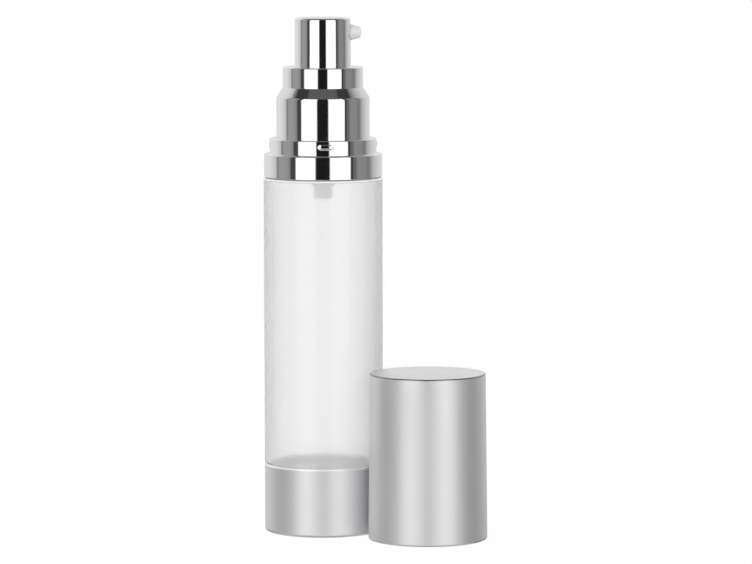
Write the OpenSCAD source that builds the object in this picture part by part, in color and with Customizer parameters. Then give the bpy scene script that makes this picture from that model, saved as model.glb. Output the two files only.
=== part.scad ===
// Airless pump bottle, about 50 ml, with its overcap standing beside it.
// The bottle's axis is Z and its foot stands on z = 0. The nozzle points along +X.

/* [Frosted tube] */
// Outside diameter of the tube, the base cup and, less a small setback, the collar
tube_d = 33.5; // [30.5:0.5:37]
// Wall of the tube
tube_wall = 2; // [1.7:0.1:2.4]
// Height of tube that shows between the base cup and the collar
tube_show_h = 80.4; // [60:0.2:110]
// Thickness of the shoulder plate inside the tube's top
shoulder_t = 1.8; // [1.4:0.1:2.4]
// Radius of the tube's upper outer edge
tube_edge_r = 0.5; // [0.2:0.05:0.6]
// Wall of the neck that stands on the shoulder
neck_wall = 1.4; // [1.1:0.1:1.8]

/* [Base] */
// Height of the base cup
base_cup_h = 19.2; // [16:0.2:26]
// Side wall of the base cup
cup_wall = 0.85; // [0.7:0.05:1]
// Floor of the base cup
cup_floor_t = 1.2; // [0.8:0.1:1.8]
// Radius of the cup's lower corner
cup_corner_r = 1.1; // [0.6:0.1:1.6]
// Height of the bevel at the cup's rim
cup_bevel_h = 0.5; // [0.3:0.1:0.8]
// Width of the bevel at the cup's rim
cup_bevel_w = 0.15; // [0.1:0.05:0.4]
// How far the middle of the foot is recessed
foot_recess = 0.6; // [0.3:0.1:1]
// Width of the ring that the bottle stands on, inside the corner radius
foot_ring_w = 2.2; // [1.5:0.1:4]
// Diameter of the vent hole through the base
vent_d = 2.4; // [1.2:0.2:4]
// Height of the base plug over the cup's floor, where the follower piston rests
plug_h = 7; // [5.6:0.2:9]
// Flange of the base plug, between the cup's floor and the tube's end
plug_flange_t = 1.2; // [0.8:0.1:1.8]

/* [Follower piston] */
// Height of the follower piston
follower_h = 9.8; // [9:0.2:14]
// How far the follower's sides stand back between its two sealing lips
follower_relief = 0.6; // [0.3:0.1:0.9]
// Thickness of the follower's crown
follower_web_t = 1.5; // [1:0.1:2]

/* [Collar] */
// Gap between the tube's top and the collar
collar_gap = 1; // [0.6:0.1:1.6]
// How far the collar's lower tier stands back from the tube, on each side
collar_setback = 0.1; // [0:0.05:0.3]
// Height of the lower tier
tier1_h = 6.45; // [5.6:0.05:8]
// Width of the ledge between the two tiers, which the overcap's rim stands on
ledge_w = 1.6; // [1.4:0.05:1.9]
// Height of the upper tier
tier2_h = 4.4; // [3.8:0.1:6]
// Wall of the collar
collar_wall = 1; // [0.8:0.05:1.2]
// Radius of the collar's outer edges
collar_edge_r = 0.25; // [0.1:0.05:0.4]
// How far the four grip beads stand out of the upper tier
bead_proud = 0.25; // [0.15:0.05:0.35]
// Height of the middle of the beads over the lower tier
bead_rise = 2.45; // [2:0.05:2.8]
// Turn of the first bead from the front, towards the nozzle
bead_turn = 3.3; // [-10:0.1:10]

/* [Shroud] */
// How far the shroud's wide part stands back from the upper tier, on each side
sleeve_setback = 1.9; // [1.5:0.05:2.2]
// Height of the shroud's wide part over the collar
sleeve_h = 11.4; // [10.4:0.1:16]
// Height of the shroud's cone
cone_h = 2.95; // [2:0.05:4.4]
// Width of the shroud's top rim, from the button's hole to the outside of the narrow part
throat_rim_w = 3.1; // [2.4:0.1:3.8]
// Height of the shroud's narrow part
throat_h = 5.7; // [4:0.1:8]
// Wall of the shroud
shroud_wall = 1; // [0.8:0.05:1.2]
// Radius of the shroud's upper edge
shroud_edge_r = 0.4; // [0.2:0.05:0.6]
// Radius where the cone meets the wide part
cone_blend_r = 1.5; // [0.5:0.1:2]
// Length of the inner sleeve that guides the button
guide_sleeve_h = 9.5; // [7:0.1:9.8]

/* [Button and nozzle] */
// Diameter of the button at its lower end
button_d = 15.9; // [15.2:0.1:16.5]
// How much narrower the button is at its top
button_draft = 0.2; // [0:0.05:0.4]
// Height of the button over the shroud
button_show_h = 13.8; // [13.6:0.1:18]
// How far the button reaches down inside the shroud
button_tuck = 4.6; // [3:0.1:4.8]
// Wall of the button's shell
shell_wall = 0.8; // [0.6:0.05:1]
// Radius of the button's upper edge
button_edge_r = 0.5; // [0.3:0.05:0.7]
// Height of the nozzle's axis over the shroud
nozzle_rise = 9.65; // [9:0.05:10.6]
// Diameter of the nozzle where it leaves the button
nozzle_base_d = 4.5; // [4.2:0.1:4.8]
// Diameter of the nozzle's tip
nozzle_tip_d = 3; // [2.4:0.1:4]
// Reach of the nozzle from the button's axis
nozzle_reach = 10.8; // [9.6:0.1:14]
// Diameter of the hole that the product leaves by
orifice_d = 1.1; // [0.8:0.1:1.6]

/* [Pump] */
// Travel of the button and of the pump's piston
stroke = 5; // [4:0.1:5.4]
// Bore of the pump's chamber
chamber_d = 11; // [10.4:0.1:11.6]
// Wall of the pump's chamber
chamber_wall = 1.1; // [0.9:0.05:1.3]
// Height of the pump's piston
piston_h = 5; // [4.8:0.1:5.4]
// Diameter of the stem
stem_d = 4.4; // [4.2:0.1:4.8]
// Diameter of the inlet spout under the housing
spout_d = 5.2; // [4.6:0.1:5.8]
// Length of the inlet spout under the shoulder plate
spout_h = 3.4; // [2.4:0.1:4.2]
// Diameter of the inlet valve's ball
inlet_ball_d = 3.5; // [3.2:0.1:3.8]
// Diameter of the outlet valve's ball
outlet_ball_d = 3; // [2.8:0.1:3.2]
// Lift of each valve ball
ball_lift = 0.8; // [0.5:0.1:1]
// Wire of the return spring
spring_wire_d = 0.7; // [0.6:0.05:0.8]
// Mean diameter of the return spring
spring_d = 7.2; // [7:0.1:7.6]
// Turns of the return spring
spring_turns = 7; // [5:1:8]

/* [Overcap] */
// Height of the overcap
cap_h = 46.5; // [42:0.5:60]
// How far the overcap's mouth stands back from the tube, on each side
cap_setback = 0.05; // [0:0.05:0.2]
// How much narrower the overcap is at its top
cap_draft = 1; // [0:0.1:1.4]
// Thickness of the overcap's top
cap_top_t = 1.5; // [1:0.1:2.5]
// Wall of the overcap near its top
cap_wall = 1.3; // [1:0.1:1.6]
// Length of the straight bore at the overcap's mouth
cap_bore_h = 5.5; // [4:0.1:8]
// Radius of the overcap's upper edge
cap_edge_r = 0.8; // [0.4:0.1:1.1]
// Radius of the overcap's lower outer edge
cap_foot_r = 0.9; // [0.4:0.1:1]
// Least distance between the standing overcap and the bottle
cap_stand_off = 0.35; // [0.3:0.05:10]
// Direction in which the overcap stands, from +X and against the clock
cap_bearing = -30; // [-90:1:-10]

/* [Clearances] */
// Radial clearance between pieces that are pushed together
slip = 0.05; // [0.03:0.01:0.08]
// Radial clearance between pieces that slide or turn on each other
run = 0.04; // [0.02:0.01:0.08]
// Radial clearance of the button in the shroud
button_gap = 0.25; // [0.15:0.05:0.4]
// Radial clearance of the overcap's bore on the upper tier
cap_fit = 0.15; // [0.1:0.01:0.2]
// Distance between moving pieces at the ends of their travel
end_gap = 0.3; // [0.2:0.05:0.5]

/* [Hidden] */

// Points of an arc around (r, z), from one angle to another
function arc(r, z, radius, from, to, steps = 6) = [
    for (i = [0 : steps])
        let (a = from + (to - from) * i / steps)
            [r + radius * cos(a), z + radius * sin(a)]
];

// Outline of a snap bead or its groove on a wall, going up or down
function snap(r, z, depth, up) =
    let (low = [[r, z - snap_h], [r + depth, z - snap_h / 2]],
         high = [[r + depth, z + snap_h / 2], [r, z + snap_h]],
         rising = concat(low, high))
    up ? rising : [for (i = [3 : -1 : 0]) rising[i]];

// Height of a ball's centre over the apex of its 45 degree seat
function seated(ball_r) = (ball_r + ball_play) * sqrt(2);

// Base, from the foot up
tube_r = tube_d / 2;
tube_bore_r = tube_r - tube_wall;
cup_bore_r = tube_r - cup_wall;
skirt_r = cup_bore_r - slip;
cup_floor_z = foot_recess + cup_floor_t;
skirt_z = cup_floor_z + plug_flange_t;
skirt_lead = 0.3;
rest_z = cup_floor_z + plug_h;
foot_ring_r = tube_r - cup_corner_r - foot_ring_w;
snap_h = 0.5;
snap_d = 0.2;
cup_snap_z = base_cup_h - 3;
plug_r = tube_bore_r - slip;
plug_wall = 1.1;
plug_hub_r = vent_d / 2 + 1.6;
plug_rib_h = 2.6;
plug_rib_t = 1;
plug_ribs = 6;

// Tube and neck
tube_top_z = base_cup_h + tube_show_h;
shoulder_z = tube_top_z - shoulder_t;
collar_z = tube_top_z + collar_gap;
tier1_z = collar_z + tier1_h;
tier2_z = tier1_z + tier2_h;
tier1_r = tube_r - collar_setback;
tier2_r = tier1_r - ledge_w;
tier1_in_r = tier1_r - collar_wall;
tier2_in_r = tier2_r - collar_wall;
ledge_fillet_r = bead_proud + 0.05;
web_t = 1;
closure_web_t = 1.2;
flange_t = 1.2;
gasket_t = 0.8;
shroud_flange_z = tier2_z - collar_wall - web_t;
housing_flange_z = shroud_flange_z - closure_web_t - flange_t;
neck_top_z = housing_flange_z - gasket_t;
closure_r = tier2_in_r - slip;
closure_wall = 1;
closure_bore_r = closure_r - closure_wall;
closure_foot_r = tier1_in_r - slip;
closure_step_z = tier1_z - collar_wall;
closure_lift = 0.4;
neck_r = closure_bore_r - slip;
neck_bore_r = neck_r - neck_wall;
neck_snap_z = neck_top_z - 2;

// Shroud
sleeve_r = tier2_r - sleeve_setback;
cone_z = tier2_z + sleeve_h;
throat_z = cone_z + cone_h;
shroud_z = throat_z + throat_h;
button_r = button_d / 2;
shroud_bore_r = button_r + button_gap;
throat_r = shroud_bore_r + throat_rim_w;
guide_wall = 0.9;

// Pump engine, from the inlet up
spout_r = spout_d / 2;
spout_z = shoulder_z - spout_h;
spout_collar_r = spout_r + 0.65;
spout_collar_h = 0.55;
ball_play = 0.05;
seat_share = 0.57;
inlet_r = inlet_ball_d / 2;
inlet_hole_r = inlet_r * seat_share;
inlet_pocket_r = inlet_r + 0.4;
inlet_seat_z = shoulder_z + 0.6;
inlet_ball_z = inlet_seat_z - inlet_hole_r + seated(inlet_r);
housing_r = neck_bore_r - slip;
housing_wall = 1;
housing_floor_t = 1.2;
housing_ribs = 4;
housing_rib_h = 5;
stop_reach = 0.7;
stop_t = 0.8;
stop_ribs = 3;
inlet_stop_z = inlet_ball_z + ball_lift + sqrt(inlet_r ^ 2 - (inlet_r * stop_reach) ^ 2) + 0.1;
chamber_r = chamber_d / 2;
barrel_r = chamber_r + chamber_wall;
chamber_z = inlet_stop_z + stop_t;
piston_z = chamber_z + end_gap + stroke;
piston_top_z = piston_z + piston_h;
guide_z = piston_top_z + end_gap;
guide_plug_h = 1.6;
barrel_z = guide_z + guide_plug_h;
guide_web_t = 1.2;
guide_skirt_h = 4;
guide_top_z = barrel_z + guide_web_t;
spring_seat_t = 0.4;

// Stem, rod and piston, at rest
stem_r = stem_d / 2;
rod_r = stem_r - 0.65;
rod_hole_r = 0.7;
rod_head_r = rod_r + 0.9;
rod_head_t = 0.8;
rod_z = piston_z + 0.3;
hub_z = rod_z + rod_head_t;
hub_h = 3.4;
hub_r = rod_head_r + 0.4;
stem_z = hub_z + hub_h;
rod_socket_h = 5;
outlet_r = outlet_ball_d / 2;
stem_hole_r = outlet_r * 0.6;
nozzle_z = shroud_z + nozzle_rise;
stem_top_z = nozzle_z - 3.9;
socket_h = 5.5;
stem_flange_t = 1;
stem_flange_r = spring_d / 2 + spring_wire_d / 2 + 0.45;
boss_z = stem_top_z - socket_h;
flange_play = 0.1;
stem_flange_z = boss_z - flange_play - stem_flange_t;
outlet_seat_r = stem_hole_r + 0.85;
outlet_ball_z = stem_top_z - outlet_seat_r + seated(outlet_r);

// Button
button_z = shroud_z + button_show_h;
button_foot_z = shroud_z - button_tuck;
button_top_r = button_r - button_draft / 2;
shell_bore_r = button_top_r - shell_wall;
shell_top_t = 0.9;
core_r = shell_bore_r - slip;
core_wall = 0.9;
core_top_t = 1.2;
core_inset = 0.5;
boss_r = stem_r + 1.4;
outlet_pocket_r = outlet_r + 0.4;
outlet_stop_z = outlet_ball_z + ball_lift + sqrt(outlet_r ^ 2 - (outlet_r * stop_reach) ^ 2) + 0.1;
channel_r = 0.8;
outlet_pocket_z = nozzle_z + channel_r + 0.1;
nozzle_r = nozzle_base_d / 2;
nozzle_hole_r = nozzle_r + 0.1;
nozzle_shank_r = nozzle_r - 0.35;
nozzle_shank_x = 4;
nozzle_dome = 0.25;
nozzle_edge = 0.15;
nozzle_boss_r = nozzle_r + 0.75;

// Follower piston
lip_r = tube_bore_r - run;
land_r = lip_r - follower_relief;
follower_z = rest_z + follower_h;
follower_well_r = spout_collar_r + 0.4;
follower_well_h = spout_h + 0.2;
follower_wall = 1.3;
follower_ribs = 6;
lip_w = 0.8;
lip_groove_w = 0.8;
lip_groove_h = 2.2;
lip_drop = 1.2;
lip_lead_h = 0.7;
lip_band_h = 1.2;

// Overcap
cap_r = tube_r - cap_setback;
cap_top_r = cap_r - cap_draft / 2;
cap_bore_r = tier2_r + cap_fit;
cap_inner_top_r = cap_top_r - cap_wall;
cap_away = tube_r + cap_r + cap_stand_off;
cap_chamfer = ledge_fillet_r;

// Return spring, as one tube along a helix
spring_r = spring_d / 2;
wire_r = spring_wire_d / 2;
spring_play = 0.05;
spring_foot_z = guide_top_z - spring_seat_t + spring_play;
spring_head_z = stem_flange_z - spring_play;
spring_rise = spring_head_z - spring_foot_z - spring_wire_d;
end_pitch = spring_wire_d + 0.5;
mid_pitch = (spring_rise - 2 * end_pitch) / (spring_turns - 2);
curl_rings = 8;
wire_sides = 6;

function coil_z(turn) =
    spring_foot_z + wire_r
    + end_pitch * min(turn, 1)
    + mid_pitch * max(0, min(turn - 1, spring_turns - 2))
    + end_pitch * max(0, turn - spring_turns + 1);

function coil_centre(turn) = [
    spring_r * cos(360 * turn),
    spring_r * sin(360 * turn),
    coil_z(turn)
];

coil_path = [for (i = [0 : curl_rings * spring_turns]) coil_centre(i / curl_rings)];

coil_points = [
    for (i = [0 : curl_rings * spring_turns])
        let (a = 360 * i / curl_rings,
             climb = atan2(mid_pitch, 2 * PI * spring_r),
             out = [cos(a), sin(a), 0],
             up = [sin(a) * sin(climb), -cos(a) * sin(climb), cos(climb)])
            for (k = [0 : wire_sides - 1])
                let (b = 360 * k / wire_sides)
                    coil_path[i] + wire_r * (cos(b) * out + sin(b) * up)
];

coil_faces = concat(
    [[for (k = [0 : wire_sides - 1]) k]],
    [for (i = [0 : curl_rings * spring_turns - 1])
        for (k = [0 : wire_sides - 1])
            let (here = i * wire_sides + k,
                 beside = i * wire_sides + (k + 1) % wire_sides)
                each [
                    [here, here + wire_sides, beside],
                    [beside, here + wire_sides, beside + wire_sides]
                ]
    ],
    [[for (k = [wire_sides - 1 : -1 : 0]) curl_rings * spring_turns * wire_sides + k]]
);

coil_gap = min([
    for (i = [0 : curl_rings * spring_turns])
        for (j = [i + curl_rings - 2 : 1 : i + curl_rings + 2])
            if (j < len(coil_path)) norm(coil_path[j] - coil_path[i])
]) - spring_wire_d;
echo(least_gap_between_turns_of_the_spring = coil_gap);

chrome = [0.80, 0.81, 0.83];
satin_silver = [0.70, 0.70, 0.71];
frosted = [0.93, 0.94, 0.95, 0.45];
natural = [0.93, 0.93, 0.91];
seal_grey = [0.80, 0.80, 0.80];
steel = [0.62, 0.63, 0.65];

module turned(outline) {
    rotate_extrude($fn = 96) polygon(outline);
}

// Upright ribs in a circle, between two radii
module ribs(count, from_r, to_r, z, h, t) {
    for (i = [0 : count - 1])
        rotate([0, 0, 360 * (i + 0.5) / count])
            translate([from_r, -t / 2, z])
                cube([to_r - from_r, t, h]);
}

// One grip bead: a ring of round section, cut down to a lens by an upright cylinder
module grip_bead(turn) {
    section_r = 1.2;
    cutter_r = 6;
    crest_r = tier2_r + bead_proud;
    z = tier1_z + bead_rise;
    root_r = tier2_r - collar_wall / 2;
    rotate([0, 0, turn])
        intersection() {
            translate([crest_r - cutter_r, 0, z - section_r])
                cylinder(r = cutter_r, h = 2 * section_r, $fn = 64);
            difference() {
                rotate_extrude($fn = 96)
                    translate([crest_r - section_r, z])
                        circle(r = section_r, $fn = 48);
                translate([0, 0, z - 2 * section_r])
                    cylinder(r = root_r, h = 4 * section_r, $fn = 96);
            }
        }
}

// Frosted tube: a skirt inside the base cup, the body, the shoulder plate and the neck
module bottle_tube() {
    color(frosted)
        turned(concat(
            [[tube_bore_r, skirt_z], [skirt_r - skirt_lead, skirt_z], [skirt_r, skirt_z + 2 * skirt_lead]],
            snap(skirt_r, cup_snap_z, snap_d, true),
            [[skirt_r, base_cup_h], [tube_r, base_cup_h]],
            arc(tube_r - tube_edge_r, tube_top_z - tube_edge_r, tube_edge_r, 0, 90),
            [[neck_r, tube_top_z]],
            snap(neck_r, neck_snap_z, snap_d, true),
            [[neck_r, neck_top_z], [neck_bore_r, neck_top_z],
             [neck_bore_r, shoulder_z], [tube_bore_r, shoulder_z]]
        ));
}

// Satin base cup, bevelled at its rim, with a foot ring and a vent hole
module base_cup() {
    color(satin_silver)
        turned(concat(
            [[vent_d / 2, foot_recess], [foot_ring_r - foot_recess, foot_recess], [foot_ring_r, 0]],
            arc(tube_r - cup_corner_r, cup_corner_r, cup_corner_r, -90, 0),
            [[tube_r, base_cup_h - cup_bevel_h], [tube_r - cup_bevel_w, base_cup_h],
             [cup_bore_r, base_cup_h]],
            snap(cup_bore_r, cup_snap_z, snap_d, false),
            [[cup_bore_r, cup_floor_z], [vent_d / 2, cup_floor_z]]
        ));
}

// Base plug: closes the tube's end, lets air in under the follower and carries it at rest
module base_plug() {
    color(natural) {
        turned([
            [vent_d / 2, cup_floor_z], [cup_bore_r - slip, cup_floor_z],
            [cup_bore_r - slip, skirt_z], [plug_r, skirt_z],
            [plug_r, rest_z], [plug_r - plug_wall, rest_z],
            [plug_r - plug_wall, skirt_z], [plug_hub_r, skirt_z],
            [plug_hub_r, skirt_z + plug_rib_h], [vent_d / 2, skirt_z + plug_rib_h]
        ]);
        ribs(plug_ribs, plug_hub_r - 0.3, plug_r - plug_wall / 2, skirt_z - 0.3,
            plug_rib_h + 0.3, plug_rib_t);
    }
}

// Follower piston: crown with a well for the spout, two sealing lips and a ribbed skirt
module follower_piston() {
    top = follower_z;
    lip_top = top - lip_drop;
    crown_r = lip_r - lip_w - lip_groove_w;
    skirt_in_r = land_r - follower_wall;
    boss_in_z = top - follower_well_h - follower_web_t;
    color(seal_grey) {
        turned([
            [skirt_in_r, rest_z], [lip_r - 0.4, rest_z],
            [lip_r, rest_z + 0.6], [lip_r, rest_z + 1.4],
            [land_r, rest_z + 2.2], [land_r, lip_top - lip_lead_h - 2 * lip_band_h],
            [lip_r, lip_top - lip_lead_h - lip_band_h], [lip_r, lip_top - lip_lead_h],
            [lip_r - 0.2, lip_top], [lip_r - lip_w, lip_top],
            [lip_r - lip_w, top - lip_groove_h], [crown_r, top - lip_groove_h],
            [crown_r, top - 0.3], [crown_r - 0.3, top],
            [follower_well_r + 0.3, top], [follower_well_r, top - 0.3],
            [follower_well_r, top - follower_well_h], [0, top - follower_well_h],
            [0, boss_in_z], [follower_well_r + follower_web_t, boss_in_z],
            [follower_well_r + follower_web_t, top - follower_web_t],
            [skirt_in_r - follower_web_t / 2, top - follower_web_t],
            [skirt_in_r, top - follower_web_t * 1.5]
        ]);
        ribs(follower_ribs, follower_well_r + follower_web_t / 2, skirt_in_r + 0.4,
            boss_in_z + 0.5, follower_well_h, 0.9);
    }
}

// Pump housing: inlet spout, ball seat, chamber and the flange that hangs it in the neck
module pump_housing() {
    flange_top = housing_flange_z + flange_t;
    floor_z = shoulder_z + housing_floor_t;
    inner_r = housing_r - housing_wall;
    color(natural) {
        turned([
            [inlet_hole_r, spout_z], [spout_r - 0.4, spout_z], [spout_r, spout_z + 0.4],
            [spout_r, shoulder_z - spout_collar_h], [spout_collar_r, shoulder_z - spout_collar_h],
            [spout_collar_r, shoulder_z], [housing_r, shoulder_z],
            [housing_r, housing_flange_z], [neck_r, housing_flange_z],
            [neck_r, flange_top], [inner_r, flange_top], [inner_r, floor_z],
            [barrel_r, floor_z], [barrel_r, barrel_z], [chamber_r, barrel_z],
            [chamber_r, chamber_z], [inlet_pocket_r, chamber_z],
            [inlet_pocket_r, inlet_seat_z + inlet_pocket_r - inlet_hole_r],
            [inlet_hole_r, inlet_seat_z]
        ]);
        ribs(housing_ribs, barrel_r - 0.3, inner_r + 0.3, floor_z - 0.3, housing_rib_h, 1);
        ribs(stop_ribs, inlet_r * stop_reach, inlet_pocket_r + 0.3, inlet_stop_z, stop_t, 0.8);
    }
}

// Gasket between the neck's top and the housing's flange
module neck_gasket() {
    color(seal_grey)
        turned([
            [neck_bore_r, neck_top_z], [neck_r, neck_top_z],
            [neck_r, housing_flange_z], [neck_bore_r, housing_flange_z]
        ]);
}

// Snap closure: holds the housing down on the neck and carries the collar
module snap_closure() {
    foot_z = collar_z + closure_lift;
    slot_top = closure_step_z - closure_wall;
    web_z = shroud_flange_z - closure_web_t;
    color(natural)
        turned(concat(
            [[closure_bore_r, foot_z], [closure_r, foot_z], [closure_r, slot_top],
             [closure_foot_r - closure_wall, slot_top], [closure_foot_r - closure_wall, foot_z],
             [closure_foot_r, foot_z], [closure_foot_r, closure_step_z],
             [closure_r, closure_step_z], [closure_r, shroud_flange_z],
             [barrel_r + 0.4, shroud_flange_z], [barrel_r + 0.4, web_z],
             [closure_bore_r, web_z]],
            snap(closure_bore_r, neck_snap_z, snap_d, false)
        ));
}

// Stem guide: lid of the pump's chamber, which steers the stem and carries the spring
module stem_guide() {
    skirt_in_r = barrel_r + slip;
    skirt_out_r = skirt_in_r + 0.8;
    hole_r = stem_r + run;
    seat_z = guide_top_z - spring_seat_t;
    seat_in_r = spring_r - wire_r - 0.2;
    seat_out_r = spring_r + wire_r + 0.2;
    color(natural)
        turned([
            [hole_r, guide_z], [chamber_r - slip, guide_z], [chamber_r - slip, barrel_z],
            [skirt_in_r, barrel_z], [skirt_in_r, barrel_z - guide_skirt_h],
            [skirt_out_r, barrel_z - guide_skirt_h], [skirt_out_r, guide_top_z],
            [seat_out_r, guide_top_z], [seat_out_r, seat_z], [seat_in_r, seat_z],
            [seat_in_r, guide_top_z], [hole_r, guide_top_z]
        ]);
}

// Chrome collar in two tiers, with four beads that grip the overcap
module collar_ring() {
    hole_r = sleeve_r + slip;
    e = collar_edge_r;
    f = ledge_fillet_r;
    color(chrome) {
        turned(concat(
            [[tier1_in_r, collar_z]],
            arc(tier1_r - e, collar_z + e, e, -90, 0, 4),
            arc(tier1_r - e, tier1_z - e, e, 0, 90, 4),
            arc(tier2_r + f, tier1_z + f, f, -90, -180, 4),
            arc(tier2_r - e, tier2_z - e, e, 0, 90, 4),
            [[hole_r, tier2_z], [hole_r, tier2_z - collar_wall],
             [tier2_in_r, tier2_z - collar_wall], [tier2_in_r, closure_step_z],
             [tier1_in_r, closure_step_z]]
        ));
        for (i = [0 : 3])
            grip_bead(bead_turn - 90 + 90 * i);
    }
}

// Chrome shroud: flange under the collar, wide part, cone, narrow part and the button's sleeve
module shroud() {
    w = shroud_wall;
    e = shroud_edge_r;
    slope = atan2(sleeve_r - throat_r, cone_h);
    tangent = cone_blend_r * tan(slope / 2);
    inner_cone_z = cone_z - w * tan(slope / 2);
    inner_throat_z = throat_z - w * tan(slope / 2);
    color(chrome)
        turned(concat(
            [[sleeve_r - w, shroud_flange_z], [closure_r, shroud_flange_z],
             [closure_r, shroud_flange_z + web_t], [sleeve_r, shroud_flange_z + web_t]],
            arc(sleeve_r - cone_blend_r, cone_z - tangent, cone_blend_r, 0, slope, 5),
            [[throat_r, throat_z]],
            arc(throat_r - e, shroud_z - e, e, 0, 90, 5),
            [[shroud_bore_r, shroud_z], [shroud_bore_r, shroud_z - guide_sleeve_h],
             [shroud_bore_r + guide_wall, shroud_z - guide_sleeve_h],
             [shroud_bore_r + guide_wall, shroud_z - w], [throat_r - w, shroud_z - w],
             [throat_r - w, inner_throat_z], [sleeve_r - w, inner_cone_z]]
        ));
}

// Pump piston: a hub on the rod, a web and two lips against the chamber
module pump_piston() {
    seal_r = chamber_r - run;
    web_low = hub_z + 0.9;
    web_high = web_low + 1;
    skirt_r = seal_r - 1;
    color(seal_grey)
        turned([
            [rod_r + slip, hub_z], [hub_r, hub_z], [hub_r, web_low], [skirt_r, web_low],
            [seal_r - 0.7, piston_z], [seal_r - 0.4, piston_z],
            [seal_r, piston_z + 0.6], [seal_r, piston_z + 1.1],
            [seal_r - 0.3, piston_z + 1.7], [seal_r - 0.3, piston_top_z - 1.7],
            [seal_r, piston_top_z - 1.1], [seal_r, piston_top_z - 0.6],
            [seal_r - 0.4, piston_top_z], [seal_r - 0.7, piston_top_z],
            [skirt_r, web_high], [hub_r, web_high], [hub_r, stem_z], [rod_r + slip, stem_z]
        ]);
}

// Hollow rod that clamps the piston against the stem
module piston_rod() {
    rod_top = stem_z + rod_socket_h - 0.2;
    color(natural)
        turned([
            [rod_hole_r, rod_z], [rod_head_r, rod_z], [rod_head_r, hub_z], [rod_r, hub_z],
            [rod_r, rod_top - 0.3], [rod_r - 0.3, rod_top], [rod_hole_r, rod_top]
        ]);
}

// Hollow stem: socket for the rod, flange for the spring, seat of the outlet ball on top
module stem() {
    socket_r = rod_r + slip;
    socket_top = stem_z + rod_socket_h;
    color(natural)
        turned([
            [socket_r, stem_z], [stem_r, stem_z], [stem_r, stem_flange_z],
            [stem_flange_r, stem_flange_z], [stem_flange_r, stem_flange_z + stem_flange_t],
            [stem_r, stem_flange_z + stem_flange_t], [stem_r, stem_top_z],
            [outlet_seat_r, stem_top_z], [stem_hole_r, stem_top_z - outlet_seat_r + stem_hole_r],
            [stem_hole_r, socket_top], [socket_r, socket_top]
        ]);
}

module return_spring() {
    color(steel)
        polyhedron(points = coil_points, faces = coil_faces, convexity = 10);
}

module inlet_ball() {
    color(steel)
        translate([0, 0, inlet_ball_z])
            sphere(r = inlet_r, $fn = 48);
}

module outlet_ball() {
    color(steel)
        translate([0, 0, outlet_ball_z])
            sphere(r = outlet_r, $fn = 48);
}

// Button core: stem socket, outlet ball's pocket and the channel to the nozzle
module button_core() {
    top = button_z - shell_top_t;
    foot = button_foot_z + core_inset;
    color(natural) {
        difference() {
            union() {
                turned([
                    [0, boss_z], [boss_r, boss_z], [boss_r, top - core_top_t],
                    [core_r - core_wall, top - core_top_t], [core_r - core_wall, foot],
                    [core_r, foot], [core_r, top], [0, top]
                ]);
                intersection() {
                    translate([0, 0, nozzle_z])
                        rotate([0, 90, 0])
                            cylinder(r = nozzle_boss_r, h = core_r, $fn = 64);
                    translate([0, 0, boss_z])
                        cylinder(r = core_r - core_wall / 2, h = top - boss_z - 0.1, $fn = 96);
                }
            }
            translate([0, 0, boss_z - 1])
                cylinder(r = stem_r + run, h = stem_top_z - boss_z + 1, $fn = 64);
            translate([0, 0, stem_top_z - 0.1])
                cylinder(r = outlet_pocket_r, h = outlet_pocket_z - stem_top_z + 0.1, $fn = 64);
            translate([0, 0, nozzle_z])
                rotate([0, 90, 0]) {
                    cylinder(r = channel_r, h = core_r, $fn = 48);
                    translate([0, 0, nozzle_shank_x])
                        cylinder(r = nozzle_shank_r + slip, h = core_r, $fn = 64);
                }
        }
        ribs(stop_ribs, outlet_r * stop_reach, outlet_pocket_r + 0.3, outlet_stop_z,
            nozzle_z - channel_r - outlet_stop_z, 0.6);
    }
}

// Chrome shell of the button, with the hole that the nozzle passes through
module button_shell() {
    e = button_edge_r;
    color(chrome)
        difference() {
            turned(concat(
                [[shell_bore_r, button_foot_z], [button_r, button_foot_z]],
                arc(button_top_r - e, button_z - e, e, 0, 90),
                [[0, button_z], [0, button_z - shell_top_t],
                 [shell_bore_r, button_z - shell_top_t]]
            ));
            translate([0, 0, nozzle_z])
                rotate([0, 90, 0])
                    cylinder(r = nozzle_hole_r, h = button_r + 1, $fn = 64);
        }
}

// Nozzle: shank in the core, shoulder, tapered snout and slightly domed tip
module nozzle_tip() {
    tip_r = nozzle_tip_d / 2;
    end_x = nozzle_reach - nozzle_dome;
    color(frosted)
        translate([0, 0, nozzle_z])
            rotate([0, 90, 0])
                turned([
                    [orifice_d / 2, nozzle_shank_x + 0.1], [nozzle_shank_r - 0.2, nozzle_shank_x + 0.1],
                    [nozzle_shank_r, nozzle_shank_x + 0.3], [nozzle_shank_r, core_r],
                    [nozzle_r, core_r], [nozzle_r, button_r],
                    [tip_r, end_x], [tip_r - nozzle_edge, end_x + nozzle_edge],
                    [orifice_d / 2, nozzle_reach]
                ]);
}

// Overcap, taken off and standing on its mouth beside the bottle
module overcap() {
    e = cap_edge_r;
    f = cap_foot_r;
    lean = atan2(cap_r - cap_top_r, cap_h);
    color(satin_silver)
        rotate([0, 0, cap_bearing])
            translate([cap_away, 0, 0])
                turned(concat(
                    [[cap_bore_r, cap_chamfer], [cap_bore_r + cap_chamfer, 0]],
                    arc(cap_r - f, f, f, -90, 0),
                    arc(cap_top_r - e, cap_h - e, e, lean, 90),
                    [[0, cap_h], [0, cap_h - cap_top_t],
                     [cap_inner_top_r, cap_h - cap_top_t],
                     [cap_bore_r - 0.1, cap_bore_h + 0.4], [cap_bore_r, cap_bore_h]]
                ));
}

bottle_tube();
base_cup();
base_plug();
follower_piston();
pump_housing();
neck_gasket();
snap_closure();
stem_guide();
collar_ring();
shroud();
pump_piston();
piston_rod();
stem();
return_spring();
inlet_ball();
outlet_ball();
button_core();
button_shell();
nozzle_tip();
overcap();
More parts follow.
